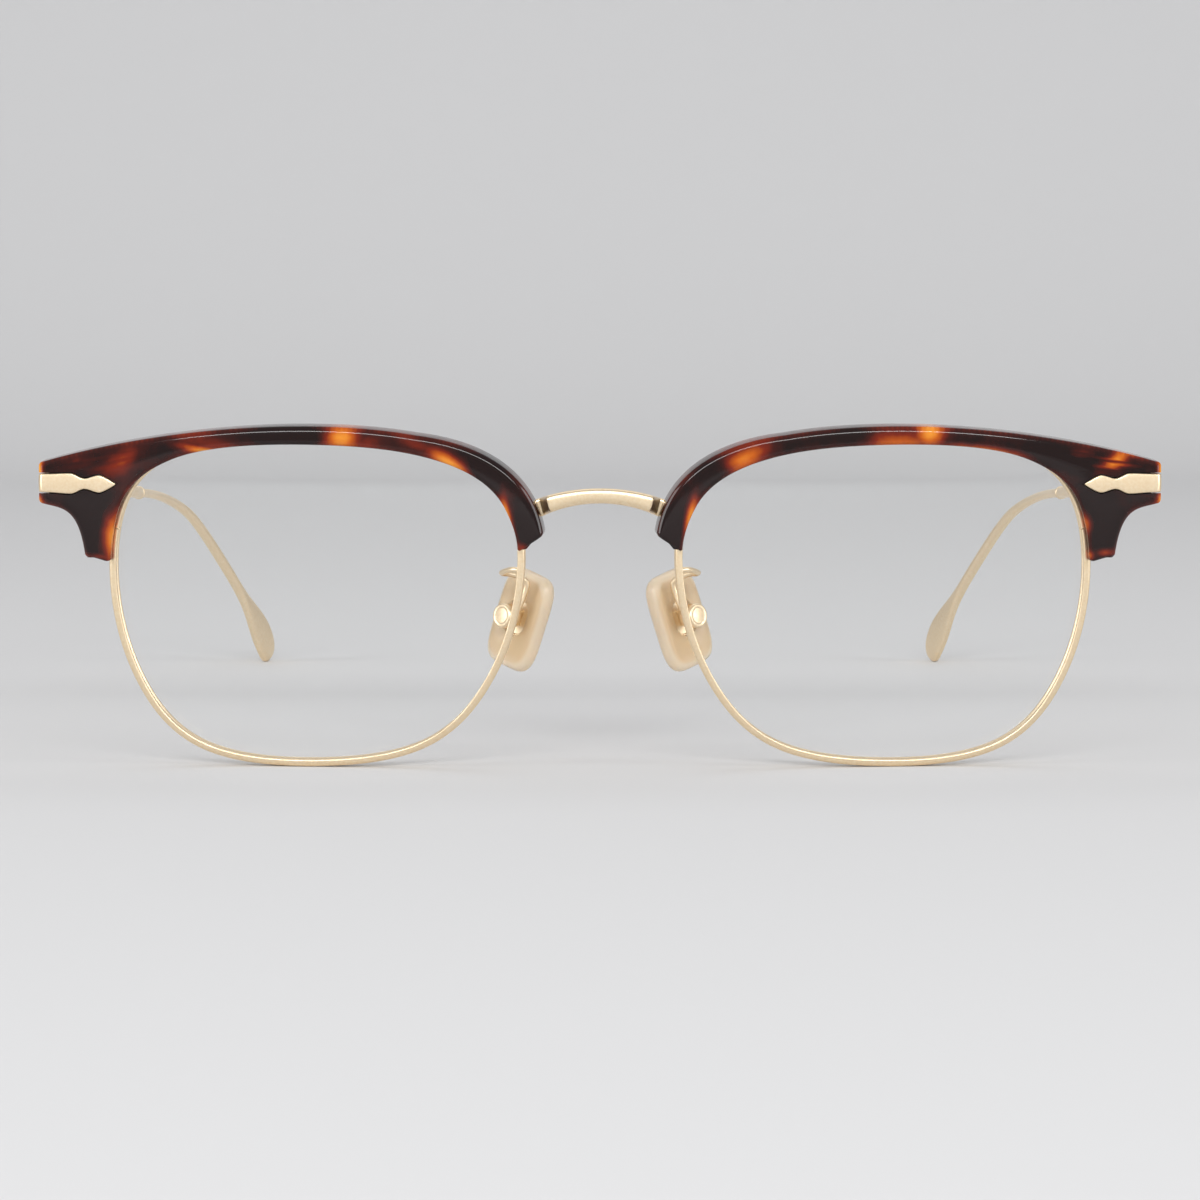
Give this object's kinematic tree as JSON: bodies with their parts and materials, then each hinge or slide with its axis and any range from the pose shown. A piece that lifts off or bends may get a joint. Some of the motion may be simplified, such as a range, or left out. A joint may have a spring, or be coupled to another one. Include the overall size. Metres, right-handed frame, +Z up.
{
  "type": "browline glasses",
  "caption": "Browline glasses with acetate brows over thin metal rims, inlaid metal end pieces, clear lenses, silicone nose pads and slim folding metal temples with flat paddle tips.",
  "frame": {"origin": "on the table, under the middle of the whole pair of glasses with the temples open", "axes": "+X towards the wearer's left, -Y the way the front faces, +Z up"},
  "size_m": [0.1444, 0.1392, 0.0443],
  "materials": {
    "acetate": "polished dark tortoiseshell",
    "metal": "satin champagne gold",
    "lens": "clear, polished",
    "silicone": "translucent tan, satin"
  },
  "bodies": {
    "front": {"bridge": "metal", "left_brow": "acetate", "left_rim": "metal", "left_lens": "lens", "left_end_piece": "metal", "left_rim_lock": "metal", "left_lock_screw": "metal", "left_brow_screws": "metal", "left_hinge_screw": "metal", "left_pad_arm": "metal", "left_pad_box": "metal", "left_pad_pin": "metal", "right_brow": "acetate", "right_rim": "metal", "right_lens": "lens", "right_end_piece": "metal", "right_rim_lock": "metal", "right_lock_screw": "metal", "right_brow_screws": "metal", "right_hinge_screw": "metal", "right_pad_arm": "metal", "right_pad_box": "metal", "right_pad_pin": "metal"},
    "left_temple": {"left_temple_bar": "metal", "left_temple_tip": "metal"},
    "left_pad": {"left_nose_pad": "silicone", "left_pad_core": "metal"},
    "right_temple": {"right_temple_bar": "metal", "right_temple_tip": "metal"},
    "right_pad": {"right_nose_pad": "silicone", "right_pad_core": "metal"}
  },
  "joints": [
    {"name": "left_hinge", "type": "hinge", "parent": "front", "child": "left_temple", "pos_m": [0.06943, -0.0549, 0.03629], "axis": [0, 0.0713, 0.9975], "range_deg": [0, 84]},
    {"name": "right_hinge", "type": "hinge", "parent": "front", "child": "right_temple", "pos_m": [-0.06943, -0.0549, 0.03629], "axis": [0, -0.0713, -0.9975], "range_deg": [0, 75]},
    {"name": "left_pad_rock", "type": "hinge", "parent": "front", "child": "left_pad", "pos_m": [0.01179, -0.05833, 0.01894], "axis": [0.6879, 0.676, 0.2642], "range_deg": [-8, 8]},
    {"name": "right_pad_rock", "type": "hinge", "parent": "front", "child": "right_pad", "pos_m": [-0.01179, -0.05833, 0.01894], "axis": [0.6879, -0.676, -0.2642], "range_deg": [-8, 8]}
  ]
}
